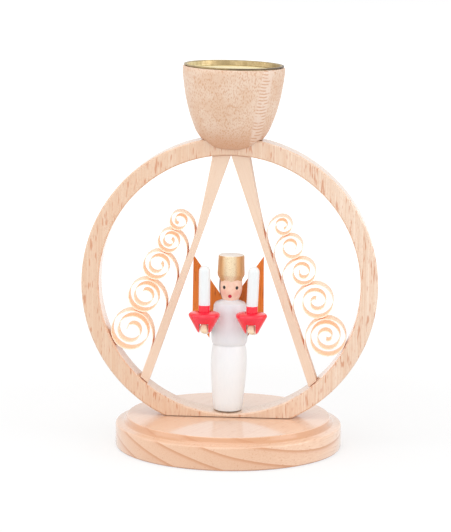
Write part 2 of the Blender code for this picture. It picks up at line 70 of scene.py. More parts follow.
class Graph:
    """Short calls that add nodes to one node tree and link them."""

    def __init__(self, tree: Tree) -> None:
        self.tree = tree

    def node(self, kind: str, inputs: dict[Any, Any] | None = None,
             **settings: Any) -> bpy.types.Node:
        """Adds a node.

        Args:
            kind: the node's type name.
            inputs: socket name or index to a value, or to a socket that is linked to it.
            settings: properties of the node.

        Returns:
            The new node.
        """
        node = self.tree.nodes.new(kind)
        for name, value in settings.items():
            setattr(node, name, value)
        for key, value in (inputs or {}).items():
            if isinstance(value, Socket):
                self.tree.links.new(value, node.inputs[key])
            else:
                node.inputs[key].default_value = value
        return node

    def math(self, operation: str, first: Any, second: Any = 0.0, third: Any = 0.0,
             clamp: bool = False) -> Socket:
        """Adds a Math node and returns its result."""
        inputs = {0: first, 1: second, 2: third}
        return self.node("ShaderNodeMath", inputs, operation=operation, use_clamp=clamp).outputs[0]

    def times(self, first: Any, second: Any) -> Socket:
        """Multiplies two numbers."""
        return self.math("MULTIPLY", first, second)

    def minus(self, first: Any, second: Any) -> Socket:
        """Subtracts the second number from the first."""
        return self.math("SUBTRACT", first, second)

    def linear(self, value: Any, factor: Any, offset: Any) -> Socket:
        """Multiplies a number and adds an offset."""
        return self.math("MULTIPLY_ADD", value, factor, offset)

    def vector(self, operation: str, first: Any, second: Any = (0.0, 0.0, 0.0)) -> Socket:
        """Adds a Vector Math node and returns its vector, or the number it gives instead."""
        node = self.node("ShaderNodeVectorMath", {0: first, 1: second}, operation=operation)
        return node.outputs["Value" if operation in ("DOT_PRODUCT", "LENGTH") else "Vector"]

    def stretch(self, vector: Any, factors: Triple) -> Socket:
        """Multiplies a vector by its own factor along each axis."""
        return self.vector("MULTIPLY", vector, factors)

    def split(self, vector: Any) -> tuple[Socket, Socket, Socket]:
        """Splits a vector into its X, Y and Z sockets."""
        node = self.node("ShaderNodeSeparateXYZ", {0: vector})
        return node.outputs[0], node.outputs[1], node.outputs[2]

    def join(self, x: Any, y: Any, z: Any) -> Socket:
        """Joins three numbers into a vector."""
        return self.node("ShaderNodeCombineXYZ", {0: x, 1: y, 2: z}).outputs[0]

    def step(self, value: Any, low: float, high: float) -> Socket:
        """Goes smoothly from 0 at low to 1 at high, which may also lie below low."""
        inputs = {"Value": value, "From Min": low, "From Max": high}
        return self.node("ShaderNodeMapRange", inputs, interpolation_type="SMOOTHSTEP").outputs[0]

    def band(self, value: Any, rise: Pair, fall: Pair) -> Socket:
        """Gives 1 between a rise and a fall, each from its 0 end to its 1 end."""
        return self.times(self.step(value, *rise), self.step(value, *fall))

    def span(self, value: Any, source: Pair, target: Pair) -> Socket:
        """Maps a value linearly from one range to another."""
        inputs = {"Value": value, "From Min": source[0], "From Max": source[1],
                  "To Min": target[0], "To Max": target[1]}
        return self.node("ShaderNodeMapRange", inputs).outputs[0]

    def mix(self, factor: Any, first: Any, second: Any, blend: str = "MIX") -> Socket:
        """Mixes two colours and returns the result."""
        inputs = {0: factor, 6: first, 7: second}
        return self.node("ShaderNodeMix", inputs, data_type="RGBA", blend_type=blend).outputs[2]

    def lay(self, colour: Any, tint: Any, mask: Any, strength: Any) -> Socket:
        """Lays a tint over a colour where a mask says, at some strength."""
        return self.mix(self.times(mask, strength), colour, tint)

    def noise(self, vector: Any, scale: float = 1.0, detail: float = 2.0,
              roughness: float = 0.5) -> Socket:
        """Adds a Noise Texture and returns its value."""
        inputs = {"Vector": vector, "Scale": scale, "Detail": detail, "Roughness": roughness}
        return self.node("ShaderNodeTexNoise", inputs).outputs[0]

    def swing(self, vector: Any, scale: float, detail: float) -> Socket:
        """Adds noise that swings round zero."""
        return self.minus(self.noise(vector, scale, detail), 0.5)


def emptied(owner: Any) -> Graph:
    """Empties the node tree of a new material or world, and returns a graph on it."""
    owner.use_nodes = True
    owner.node_tree.nodes.clear()
    return Graph(owner.node_tree)


class Kind(Enum):
    """Kinds of group sockets."""

    NUMBER = "NodeSocketFloat"
    VECTOR = "NodeSocketVector"
    COLOUR = "NodeSocketColor"


def new_group(name: str, inputs: list[tuple[str, Kind, Any]],
              outputs: list[tuple[str, Kind]]) -> tuple[Tree, Graph, dict[str, Socket]]:
    """Starts a shader node group with named sockets.

    Args:
        name: the group's name.
        inputs: name, kind and default of each input.
        outputs: name and kind of each output.

    Returns:
        The tree, a graph on it, and the group's inputs by name.
    """
    tree = bpy.data.node_groups.new(name, "ShaderNodeTree")
    for label, kind, default in inputs:
        socket = tree.interface.new_socket(label, in_out="INPUT", socket_type=kind.value)
        if default is not None:
            socket.default_value = default
    for label, kind in outputs:
        tree.interface.new_socket(label, in_out="OUTPUT", socket_type=kind.value)
    graph = Graph(tree)
    entry = graph.node("NodeGroupInput")
    return tree, graph, {label: entry.outputs[label] for label, _, _ in inputs}


def wood_grain_group() -> Tree:
    """Pores, longer flecks and fibres that all run along the grain.

    Returns:
        A group with the grain's coordinates in, and masks of pores, flecks and fibres out.
    """
    bare_limit, density_share = 0.70, 0.14
    patch_scale, patch_share = 0.16, 0.3
    fleck_contrast, pore_contrast = 11.0, 9.0
    pore_size, fibre_size = (2.3, 2.3, 2.6), (1.5, 1.5, 0.16)
    tree, graph, given = new_group(
        "Wood Grain",
        [("Vector", Kind.VECTOR, None), ("Length", Kind.NUMBER, 4.0), ("Width", Kind.NUMBER, 0.8),
         ("Density", Kind.NUMBER, 0.5)],
        [("Pores", Kind.NUMBER), ("Flecks", Kind.NUMBER), ("Fibres", Kind.NUMBER)])
    x, y, z = graph.split(given["Vector"])
    spot = graph.join(graph.math("DIVIDE", x, given["Width"]),
                      graph.math("DIVIDE", y, given["Width"]),
                      graph.math("DIVIDE", z, given["Length"]))
    patches = graph.swing(given["Vector"], patch_scale, detail=1.0)
    level = graph.linear(patches, patch_share, graph.noise(spot, detail=1.0))
    limit = graph.minus(bare_limit, graph.times(given["Density"], density_share))
    flecks = graph.math("MULTIPLY", graph.minus(level, limit), fleck_contrast, clamp=True)
    fine = graph.noise(graph.stretch(spot, pore_size), detail=1.0)
    pores = graph.math("MULTIPLY", graph.minus(fine, limit), pore_contrast, clamp=True)
    fibres = graph.noise(graph.stretch(spot, fibre_size), detail=3.0, roughness=0.65)
    graph.node("NodeGroupOutput", {"Pores": pores, "Flecks": flecks, "Fibres": fibres})
    return tree


def growth_rings_group() -> Tree:
    """Growth rings, each shading into a thin dark line of late wood.

    Returns:
        A group with a distance across the rings in millimetres in, and masks of their shade
        and line out.
    """
    late_wood, next_ring = (0.74, 0.96), (1.0, 0.97)
    wave_scale, wave_height = 0.035, 5.0
    ripple_scale, ripple_height = 0.5, 0.5
    tree, graph, given = new_group(
        "Growth Rings",
        [("Vector", Kind.VECTOR, None), ("Across", Kind.NUMBER, 0.0),
         ("Spacing", Kind.NUMBER, 6.0), ("Waviness", Kind.NUMBER, 1.0)],
        [("Shade", Kind.NUMBER), ("Line", Kind.NUMBER)])
    wave = graph.swing(given["Vector"], wave_scale, detail=1.0)
    ripple = graph.swing(given["Vector"], ripple_scale, detail=2.0)
    shift = graph.linear(wave, wave_height, graph.times(ripple, ripple_height))
    place = graph.linear(shift, given["Waviness"], given["Across"])
    phase = graph.math("FRACT", graph.math("DIVIDE", place, given["Spacing"]))
    shade = graph.math("POWER", phase, 2.0)
    graph.node("NodeGroupOutput", {"Shade": shade, "Line": graph.band(phase, late_wood, next_ring)})
    return tree


def paint_group() -> Tree:
    """A thin coat of brushed paint, a little uneven, with grain showing faintly through.

    Returns:
        A group with the paint's colour in, and its colour, roughness and height out.
    """
    stroke_size, stroke_scale = (1.0, 1.0, 0.16), 1.9
    blotch_scale, blotch_share = 0.35, 0.5
    worn_low, worn_high = 0.55, 1.0
    stroke_gloss = 0.16
    tree, graph, given = new_group(
        "Brushed Paint",
        [("Vector", Kind.VECTOR, None), ("Paint", Kind.COLOUR, (0.8, 0.8, 0.8, 1.0)),
         ("Thin", Kind.COLOUR, (0.7, 0.7, 0.7, 1.0)), ("Unevenness", Kind.NUMBER, 0.5),
         ("Gloss", Kind.NUMBER, 0.4)],
        [("Color", Kind.COLOUR), ("Roughness", Kind.NUMBER), ("Height", Kind.NUMBER)])
    strokes = graph.noise(graph.stretch(given["Vector"], stroke_size), stroke_scale, detail=3.0,
                          roughness=0.6)
    blotches = graph.noise(given["Vector"], blotch_scale)
    worn = graph.step(graph.linear(blotches, blotch_share, strokes), worn_low, worn_high)
    colour = graph.lay(given["Paint"], given["Thin"], worn, given["Unevenness"])
    roughness = graph.linear(strokes, stroke_gloss, given["Gloss"])
    graph.node("NodeGroupOutput", {"Color": colour, "Roughness": roughness, "Height": strokes})
    return tree


def dust_group() -> Tree:
    """Fine pale dust that lies on upward faces.

    Returns:
        A group with the surface colour in and the dusted colour out.
    """
    steep, flat = 0.35, 0.95
    grain_scale, grain_low, grain_high = 5.0, 0.45, 0.62
    dust = srgb(250, 240, 232)
    tree, graph, given = new_group(
        "Fine Dust",
        [("Vector", Kind.VECTOR, None), ("Normal", Kind.VECTOR, None),
         ("Color", Kind.COLOUR, (0.5, 0.5, 0.5, 1.0)), ("Amount", Kind.NUMBER, 0.1)],
        [("Color", Kind.COLOUR)])
    lying = graph.step(graph.split(given["Normal"])[2], steep, flat)
    grains = graph.step(graph.noise(given["Vector"], grain_scale), grain_low, grain_high)
    colour = graph.lay(given["Color"], dust, graph.times(lying, grains), given["Amount"])
    graph.node("NodeGroupOutput", {"Color": colour})
    return tree


@dataclass
class Effects:
    """The shared effect groups."""

    grain: Tree = field(default_factory=wood_grain_group)
    rings: Tree = field(default_factory=growth_rings_group)
    paint: Tree = field(default_factory=paint_group)
    dust: Tree = field(default_factory=dust_group)


class Surface:
    """A material under construction: its graph, its coordinates in millimetres and its shader."""

    DUST_AMOUNT = 0.08

    def __init__(self, name: str, effects: Effects) -> None:
        """Starts an empty material.

        Args:
            name: the material's name.
            effects: the shared groups.
        """
        self.material = bpy.data.materials.new(name)
        self.graph = emptied(self.material)
        self.effects = effects
        spot = self.graph.node("ShaderNodeTexCoord").outputs["Object"]
        self.place = self.graph.node("ShaderNodeVectorMath", {0: spot, "Scale": 1 / MM},
                                     operation="SCALE").outputs[0]
        self.x, self.y, self.z = self.graph.split(self.place)
        self.normal = self.graph.node("ShaderNodeNewGeometry").outputs["Normal"]

    def group(self, tree: Tree, **inputs: Any) -> bpy.types.bpy_prop_collection:
        """Adds an effect group, at this surface's place unless given a Vector.

        Args:
            tree: the group.
            inputs: values or sockets for the group's inputs.

        Returns:
            The group's outputs by name.
        """
        return self.graph.node("ShaderNodeGroup", {"Vector": self.place, **inputs},
                               node_tree=tree).outputs

    def dusted(self, colour: Any) -> Socket:
        """Lays fine dust on the upward faces of a colour."""
        return self.group(self.effects.dust, Normal=self.normal, Color=colour,
                          Amount=self.DUST_AMOUNT)["Color"]

    def shade(self, colour: Any, roughness: Any, height: Any, bump: float, depth: float,
              **inputs: Any) -> Material:
        """Closes the material with its Principled shader.

        Args:
            colour: base colour, a socket or a value.
            roughness: roughness, a socket or a value.
            height: height for the bump.
            bump: strength of the bump.
            depth: the bump's depth in millimetres.
            inputs: further Principled inputs, with underscores for spaces.

        Returns:
            The finished material.
        """
        bumped = self.graph.node("ShaderNodeBump", {"Strength": bump, "Distance": depth * MM,
                                                    "Height": height})
        named = {key.replace("_", " "): value for key, value in inputs.items()}
        shader = self.graph.node("ShaderNodeBsdfPrincipled",
                                 {"Base Color": colour, "Roughness": roughness,
                                  "Normal": bumped.outputs[0], **named})
        self.graph.node("ShaderNodeOutputMaterial", {"Surface": shader.outputs[0]})
        return self.material


class Finish(Protocol):
    """A look that builds one material."""

    def build(self, effects: Effects) -> Material:
        """Builds the material."""


@dataclass(frozen=True)
class BareWood:
    """Sanded wood with a thin satin lacquer, pores, flecks, fibres and growth rings.

    The grain runs along Z of the turned coordinates. A paler side makes the wood paler along X.
    """

    name: str
    pale: Colour
    warm: Colour
    dark: Colour
    paler_side: Colour | None = None
    paler_side_span: Pair = (0.0, 40.0)
    turn: Triple = (0.0, 0.0, 0.0)
    fleck_length: float = 6.0
    fleck_width: float = 0.75
    density: float = 0.5
    fleck_strength: float = 0.75
    pore_strength: float = 0.3
    fibre_strength: float = 0.6
    fibre_range: Pair = (0.3, 0.72)
    across: Triple = (1.0, 0.3, 0.0)
    spacing: float = 7.0
    shift: float = 0.0
    waviness: float = 1.0
    ring_strength: float = 0.2
    line_strength: float = 0.0
    line_under_top_sheen: float = 1.0
    top_slope: Pair = (0.9, 0.3)
    hollow_share: float = 0.6
    roughness: float = 0.34
    fibre_gloss: float = 0.12
    sheen_coat: float = 0.0

    def ground(self, surface: Surface) -> Any:
        """Gives the wood's lightest colour.

        Args:
            surface: the material's surface.

        Returns:
            The colour, a value or a socket.
        """
        if self.paler_side is None:
            return self.pale
        graph = surface.graph
        return graph.mix(graph.step(surface.x, *self.paler_side_span), self.pale, self.paler_side)

    def painted_glow(self, surface: Surface) -> dict[str, Any]:
        """Gives the Principled inputs of a painted glow for light that passes through, none for
        thick wood.
        """
        return {}

    def build(self, effects: Effects) -> Material:
        """Builds the material.

        Args:
            effects: the shared groups.

        Returns:
            The wood material.
        """
        surface = Surface(self.name, effects)
        graph = surface.graph
        turned = graph.node("ShaderNodeVectorRotate",
                            {"Vector": surface.place, "Rotation": self.turn},
                            rotation_type="EULER_XYZ").outputs[0]
        grain = surface.group(effects.grain, Vector=turned, Length=self.fleck_length,
                              Width=self.fleck_width, Density=self.density)
        across = graph.math("ADD", graph.vector("DOT_PRODUCT", surface.place, self.across),
                            self.shift)
        rings = surface.group(effects.rings, Across=across, Spacing=self.spacing,
                              Waviness=self.waviness)
        # partly painted sheen: ring shade and lines fade on upward faces, where the lacquer's glare
        # hides them
        upright = graph.step(graph.split(surface.normal)[2], *self.top_slope)
        cut = graph.span(upright, (0.0, 1.0), (self.line_under_top_sheen, 1.0))
        colour = self.ground(surface)
        layers = ((self.warm, graph.step(grain["Fibres"], *self.fibre_range), self.fibre_strength),
                  (self.warm, graph.times(rings["Shade"], cut), self.ring_strength),
                  (self.dark, graph.times(rings["Line"], cut), self.line_strength),
                  (self.dark, grain["Pores"], self.pore_strength),
                  (self.dark, grain["Flecks"], self.fleck_strength))
        for tint, mask, strength in layers:
            colour = graph.lay(colour, tint, mask, strength)
        hollow = graph.linear(grain["Pores"], self.hollow_share, grain["Flecks"])
        height = graph.minus(graph.times(grain["Fibres"], self.hollow_share), hollow)
        rough = graph.linear(grain["Fibres"], self.fibre_gloss, self.roughness)
        return surface.shade(surface.dusted(colour), rough, height, bump=0.3, depth=0.04,
                             Specular_IOR_Level=0.5, Coat_Weight=self.sheen_coat,
                             Coat_Roughness=0.12, **self.painted_glow(surface))


@dataclass(frozen=True)
class CovedWood(BareWood):
    """The base plate's wood, with painted shade in the cove and a painted shadow along its lower
    edge.
    """

    cove_start: Pair = (10.15, 10.55)
    cove_end: Pair = (12.9, 12.6)
    cove_painted_shade: Colour = srgb(219, 162, 119)
    foot: Pair = (0.8, 0.24)
    foot_painted_shadow: Colour = srgb(164, 100, 74)

    def ground(self, surface: Surface) -> Any:
        """Paints shade into the cove, and a shadow along the lower edge next to the table.

        Args:
            surface: the material's surface.

        Returns:
            The colour's socket.
        """
        graph = surface.graph
        # painted shade: the cove's recess is darkened
        inside = graph.band(surface.z, self.cove_start, self.cove_end)
        colour = graph.mix(inside, super().ground(surface), self.cove_painted_shade)
        # painted shadow: the lower edge is darkened next to the table
        return graph.mix(graph.step(surface.z, *self.foot), colour, self.foot_painted_shadow)


@dataclass(frozen=True)
class CurlWood(BareWood):
    """The struts' wood, whose thin shavings are paler than the lath and glow with painted light."""

    shaving: Colour = srgb(251, 229, 206)
    edge_painted_highlight: Colour = srgb(255, 243, 229)
    highlight_facing: Pair = (0.5, 0.9)
    shaving_painted_glow: Colour = srgb(255, 212, 174)
    gap_painted_glow: Colour = srgb(188, 84, 44)
    glow: float = 0.18
    gap: float = 1.6
    gap_openness: Pair = (0.55, 0.15)
    apex_height: float = 124.7
    outward: Pair = (0.9447, 0.3280)
    lath_edge: Pair = (3.4, 5.0)
    top_drop: Pair = (21.5, 24.5)

    def shavings(self, surface: Surface) -> Socket:
        """Masks the shavings: beyond the lath's outer edge and well below the apex.

        Args:
            surface: the material's surface.

        Returns:
            The mask.
        """
        graph = surface.graph
        from_apex = graph.vector("SUBTRACT", surface.place, (0.0, 0.0, self.apex_height))
        x, _, drop = graph.split(graph.vector("ABSOLUTE", from_apex))
        across, down = self.outward
        out = graph.minus(graph.times(x, across), graph.times(drop, down))
        return graph.times(graph.step(out, *self.lath_edge), graph.step(drop, *self.top_drop))

    def ground(self, surface: Surface) -> Any:
        """Mixes from the lath's colour to the shavings', with a painted highlight on their cut
        edges that face front and back.

        Args:
            surface: the material's surface.

        Returns:
            The colour's socket.
        """
        graph = surface.graph
        # painted highlight: shaving faces turned to the front and back are whiter
        facing = graph.math("ABSOLUTE", graph.split(surface.normal)[1])
        shaving = graph.mix(graph.step(facing, *self.highlight_facing), self.shaving, self.edge_painted_highlight)
        return graph.mix(self.shavings(surface), self.pale, shaving)

    def painted_glow(self, surface: Surface) -> dict[str, Any]:
        """Makes the thin shavings glow with painted light for the light from behind them, redder in
        narrow gaps.

        Args:
            surface: the material's surface.

        Returns:
            The emission inputs of the Principled shader.
        """
        graph = surface.graph
        # painted glow: emission stands in for light through the shavings, redder where gaps are
        # narrow
        lit = graph.mix(self.shavings(surface), BLACK, self.shaving_painted_glow)
        openness = graph.node("ShaderNodeAmbientOcclusion", {"Distance": self.gap * MM})
        narrow = graph.step(openness.outputs["AO"], *self.gap_openness)
        return {"Emission_Color": graph.mix(narrow, lit, self.gap_painted_glow),
                "Emission_Strength": self.glow}


@dataclass(frozen=True)
class CupWood:
    """Turned beech with fine ray flecks all over, a stripe of stacked arcs on one side, and painted
    shade on its underside.
    """

    name: str = "cup wood"
    pale: Colour = srgb(234, 208, 186)
    warm: Colour = srgb(228, 195, 168)
    dark: Colour = srgb(206, 148, 104)
    between: Colour = srgb(240, 218, 202)
    underside_painted_shade: Colour = srgb(217, 173, 142)
    belly: Pair = (141.0, 127.5)
    mottle_range: Pair = (0.35, 0.65)
    speck_size: Triple = (2.4, 2.4, 0.9)
    tick_size: Triple = (1.0, 1.0, 1.7)
    tick_share: float = 0.25
    fleck_range: Pair = (0.62, 0.78)
    fleck_strength: float = 0.6
    arc_across: float = 15.2
    arc_height: float = 157.0
    arc_lean: float = 0.185
    arc_sag: float = 0.09
    arc_wobble: float = 0.6
    arc_width: Pair = (2.6, 1.56)
    arc_pitch: float = 1.35
    arc_edge: Pair = (0.0, 0.8)
    arc_gaps: Pair = (0.38, 0.5)
    arc_front: Pair = (6.0, 0.0)
    arc_strength: float = 0.7
    stripe_strength: float = 0.6
    roughness: float = 0.36
    speck_gloss: float = 0.15

    def stripe(self, surface: Surface, wobble: Socket) -> tuple[Socket, Socket]:
        """Masks the stripe and its arcs.

        Args:
            surface: the material's surface.
            wobble: broad noise that bends the arcs.

        Returns:
            The mask of the whole stripe, and that of the arcs on it.
        """
        graph = surface.graph
        above = graph.minus(surface.z, self.arc_height)
        aside = graph.minus(surface.x, graph.linear(above, self.arc_lean, self.arc_across))
        sag = graph.times(graph.times(aside, aside), self.arc_sag)
        level = graph.linear(wobble, self.arc_wobble, graph.minus(surface.z, sag))
        stacked = graph.math("SINE", graph.times(level, 2 * math.pi / self.arc_pitch))
        near = graph.step(graph.math("ABSOLUTE", aside), *self.arc_width)
        broken = graph.step(graph.noise(surface.place, scale=0.28, detail=1.0), *self.arc_gaps)
        arcs = graph.times(graph.step(stacked, *self.arc_edge), graph.times(near, broken))
        return near, graph.times(arcs, graph.step(surface.y, *self.arc_front))

    def build(self, effects: Effects) -> Material:
        """Builds the material.

        Args:
            effects: the shared groups.

        Returns:
            The cup's wood material.
        """
        surface = Surface(self.name, effects)
        graph = surface.graph
        wobble = graph.noise(surface.place, scale=0.12)
        specks = graph.noise(graph.stretch(surface.place, self.speck_size), detail=1.0)
        ticks = graph.noise(graph.stretch(surface.place, self.tick_size), detail=1.0)
        fleck = graph.step(graph.linear(ticks, self.tick_share, specks), *self.fleck_range)
        stripe, arcs = self.stripe(surface, wobble)
        colour = graph.mix(graph.step(wobble, *self.mottle_range), self.pale, self.warm)
        # painted shade: the cup below its belly is darkened
        colour = graph.mix(graph.step(surface.z, *self.belly), colour, self.underside_painted_shade)
        colour = graph.lay(colour, self.dark, fleck, self.fleck_strength)
        colour = graph.lay(colour, self.between, stripe, self.stripe_strength)
        colour = graph.lay(colour, self.dark, arcs, self.arc_strength)
        rough = graph.linear(specks, self.speck_gloss, self.roughness)
        return surface.shade(surface.dusted(colour), rough, fleck, bump=0.2, depth=0.03,
                             Specular_IOR_Level=0.5)


@dataclass(frozen=True)
class Brass:
    """Pressed brass, polished, with faint turning marks round its middle, painted shade on its wall
    and a painted shadow at its rim.
    """

    name: str = "pan brass"
    floor: tuple[Colour, Colour] = (srgb(250, 238, 194), srgb(241, 225, 174))
    wall_painted_shade: tuple[Colour, Colour] = (srgb(184, 164, 124), srgb(160, 140, 102))
    rim: Colour = srgb(112, 98, 84)
    well: Pair = (18.7, 19.0)
    flange: Pair = (20.75, 20.87)
    tarnish_range: Pair = (0.35, 0.75)
    mark_pitch: float = 3.5
    mark_gloss: float = 0.06
    bright: Pair = (0.3, 0.32)
    dull: Pair = (0.7, 0.42)

    def build(self, effects: Effects) -> Material:
        """Builds the material.

        Args:
            effects: the shared groups.

        Returns:
            The brass material.
        """
        surface = Surface(self.name, effects)
        graph = surface.graph
        radius = graph.vector("LENGTH", graph.join(surface.x, surface.y, 0.0))
        turning = graph.join(graph.times(radius, self.mark_pitch), 0.0, 0.0)
        marks = graph.noise(turning, detail=3.0, roughness=0.7)
        tarnish = graph.noise(surface.place, scale=0.35, detail=4.0, roughness=0.6)
        stained = graph.step(tarnish, *self.tarnish_range)
        # painted shade: the wall beyond the well is a darker copy of the floor's brass
        colour = graph.mix(graph.step(radius, *self.well), graph.mix(stained, *self.floor),
                           graph.mix(stained, *self.wall_painted_shade))
        # painted shadow: a dark line on the flange's outer edge
        colour = graph.mix(graph.step(radius, *self.flange), colour, self.rim)
        polish = graph.span(tarnish, *zip(self.bright, self.dull))
        rough = graph.linear(marks, self.mark_gloss, polish)
        return surface.shade(colour, rough, marks, bump=0.12, depth=0.02, Metallic=1.0)


@dataclass(frozen=True)
class Paint:
    """A brushed coat of paint, with an optional second colour on the low side of a plane.

    Where no thin colour is given, the paint itself gets a little darker where it is thin.
    """

    name: str
    paint: Colour
    thin: Colour | None = None
    thin_tone: Colour = (0.93, 0.91, 0.90, 1.0)
    unevenness: float = 0.5
    gloss: float = 0.3
    coat: float = 0.2
    other: Colour | None = None
    axis: Triple = (0.0, 0.0, 1.0)
    limit: float = 0.0
    raggedness: float = 0.25
    edge: Pair = (0.2, -0.02)

    def build(self, effects: Effects) -> Material:
        """Builds the material.

        Args:
            effects: the shared groups.

        Returns:
            The paint material.
        """
        surface = Surface(self.name, effects)
        graph = surface.graph
        colour: Any = self.paint
        if self.other is not None:
            reach = graph.vector("DOT_PRODUCT", surface.place, self.axis)
            ragged = graph.linear(graph.noise(surface.place, scale=0.8), self.raggedness, reach)
            beyond = graph.step(ragged, self.limit + self.edge[0], self.limit + self.edge[1])
            colour = graph.mix(beyond, self.paint, self.other)
        thin = self.thin or graph.mix(1.0, colour, self.thin_tone, "MULTIPLY")
        coat = surface.group(effects.paint, Paint=colour, Thin=thin, Unevenness=self.unevenness,
                             Gloss=self.gloss)
        return surface.shade(coat["Color"], coat["Roughness"], coat["Height"], bump=0.25,
                             depth=0.03, Coat_Weight=self.coat, Coat_Roughness=0.2)


@dataclass(frozen=True)
class AngelPaint:
    """The figure's paint: robe, skin, face, hair and the gilded crown with its bare top.

    A height given as a pair is where one paint ends and where the next is full.
    """

    name: str = "angel paint"
    axis: Pair = (0.2, 1.5)
    waist: float = 43.4
    torso: Pair = (42.9, 43.9)
    chin: Pair = (62.6, 62.8)
    crown: Pair = (71.35, 71.5)
    crown_top: Pair = (81.4, 81.65)
    skirt_white: Colour = srgb(247, 252, 255)
    torso_painted_shade: Colour = srgb(235, 240, 245)
    thin_tone: Colour = (0.93, 0.94, 0.96, 1.0)
    groove: Pair = (0.5, 0.1)
    groove_strength: float = 0.25
    groove_painted_shade: Colour = srgb(190, 178, 172)
    skin: tuple[Colour, Colour] = (srgb(255, 224, 202), srgb(250, 210, 186))
    cheeks: tuple[Pair, ...] = ((-3.2, 65.9), (3.7, 65.9))
    cheek_size: Pair = (1.7, 1.4)
    cheek_edge: float = 0.6
    cheek_strength: float = 0.35
    blush: Colour = srgb(240, 150, 140)
    eyes: tuple[Pair, ...] = ((-2.26, 68.28), (3.10, 68.11))
    eye_size: Pair = (0.58, 0.76)
    eye_edge: float = 0.18
    eye_black: Colour = srgb(12, 10, 12)
    mouth: Pair = (0.19, 64.53)
    mouth_size: Pair = (0.78, 0.78)
    mouth_edge: float = 0.15
    lip_red: Colour = srgb(205, 22, 60)
    backward: Pair = (-0.6, 0.8)
    hairline: Pair = (2.0, 2.4)
    hair: tuple[Colour, Colour] = (srgb(120, 82, 84), srgb(84, 54, 60))
    gilt_painted_sheen: tuple[Colour, Colour] = (srgb(240, 221, 186), srgb(218, 170, 118))
    sheen_turn: Pair = (0.5, 1.0)
    waves: float = 6.0
    wave_start: float = 0.6
    wave_height: float = 0.3
    worn_gilt: Colour = srgb(186, 148, 102)
    worn_range: Pair = (0.48, 0.68)
    worn_strength: float = 0.5
    metal: float = 0.4
    bare_wood: Colour = srgb(250, 244, 236)

    def spot(self, surface: Surface, centre: Pair, size: Pair, soft: float) -> Socket:
        """Masks an oval, seen from the front.

        Args:
            surface: the material's surface.
            centre: the oval's middle, across and up.
            size: its half width and half height.
            soft: width of its soft edge, as a share of its size.

        Returns:
            The mask.
        """
        graph = surface.graph
        wide = graph.math("DIVIDE", graph.minus(surface.x, centre[0]), size[0])
        high = graph.math("DIVIDE", graph.minus(surface.z, centre[1]), size[1])
        reach = graph.vector("LENGTH", graph.join(wide, high, 0.0))
        return graph.step(reach, 1.0 + soft, 1.0 - soft)

    def face(self, surface: Surface, mottle: Socket) -> Socket:
        """Paints the skin with its cheeks, eyes and mouth.

        Args:
            surface: the material's surface.
            mottle: fine noise that varies the skin.

        Returns:
            The colour's socket.
        """
        graph = surface.graph
        front = graph.step(surface.y, self.axis[1], self.axis[1] - 1.0)
        colour = graph.mix(graph.step(mottle, 0.35, 0.7), *self.skin)
        for cheek in self.cheeks:
            colour = graph.lay(colour, self.blush,
                               self.spot(surface, cheek, self.cheek_size, self.cheek_edge),
                               self.cheek_strength)
        for eye in self.eyes:
            colour = graph.lay(colour, self.eye_black,
                               self.spot(surface, eye, self.eye_size, self.eye_edge), front)
        return graph.lay(colour, self.lip_red,
                         self.spot(surface, self.mouth, self.mouth_size, self.mouth_edge), front)

    def head(self, surface: Surface, mottle: Socket) -> Socket:
        """Adds the hair behind the face, up to a slightly wavy hairline.

        Args:
            surface: the material's surface.
            mottle: fine noise that varies the skin.

        Returns:
            The colour's socket.
        """
        graph = surface.graph
        aside, back = self.backward
        behind = graph.linear(surface.y, back, graph.times(surface.x, aside))
        edge = graph.math("ADD", graph.noise(surface.place, scale=0.5), behind)
        strands = graph.noise(graph.stretch(surface.place, (2.0, 2.0, 0.5)))
        return graph.mix(graph.step(edge, *self.hairline), self.face(surface, mottle),
                         graph.mix(strands, *self.hair))

    def gilding(self, surface: Surface, bearing: Socket) -> Socket:
        """Makes gold leaf, worn in places, with a painted reflection: brightest towards the front,
        darker at the sides.

        Args:
            surface: the material's surface.
            bearing: the angle round the figure's axis, 0 in front.

        Returns:
            The colour's socket.
        """
        graph = surface.graph
        around = graph.join(graph.times(bearing, 1.1), 0.0, graph.times(surface.z, 0.03))
        streak = graph.noise(around, roughness=0.6)
        turned = graph.linear(streak, 0.5, graph.math("ABSOLUTE", bearing))
        leaf = graph.noise(surface.place, scale=2.2, detail=3.0, roughness=0.7)
        # painted reflection: the gold is brighter towards the front and darker round the sides
        colour = graph.mix(graph.step(turned, *self.sheen_turn), *self.gilt_painted_sheen)
        return graph.lay(colour, self.worn_gilt, graph.step(leaf, *self.worn_range),
                         self.worn_strength)

    def build(self, effects: Effects) -> Material:
        """Builds the material.

        Args:
            effects: the shared groups.

        Returns:
            The figure's material.
        """
        surface = Surface(self.name, effects)
        graph, z = surface.graph, surface.z
        # painted shade: the torso above the waist is greyer, where head and arms shade it
        white = graph.mix(graph.step(z, *self.torso), self.skirt_white, self.torso_painted_shade)
        thin = graph.mix(1.0, white, self.thin_tone, "MULTIPLY")
        robe = surface.group(effects.paint, Paint=white, Thin=thin, Unevenness=0.4, Gloss=0.3)
        mottle = graph.noise(surface.place, scale=0.6, detail=3.0)
        bearing = graph.math("ARCTAN2", graph.minus(surface.x, self.axis[0]),
                             graph.minus(self.axis[1], surface.y))
        waves = graph.math("SINE", graph.linear(bearing, self.waves, self.wave_start))
        lift = graph.linear(mottle, 0.8, graph.times(waves, self.wave_height))
        brow = graph.math("ADD", z, lift)
        is_gilt = graph.step(brow, *self.crown)
        is_bare = graph.step(z, *self.crown_top)
        head = graph.mix(is_gilt, self.head(surface, mottle), self.gilding(surface, bearing))
        head = graph.mix(is_bare, head, self.bare_wood)
        is_head = graph.step(graph.linear(mottle, 0.3, z), *self.chin)
        colour = graph.mix(is_head, robe["Color"], head)
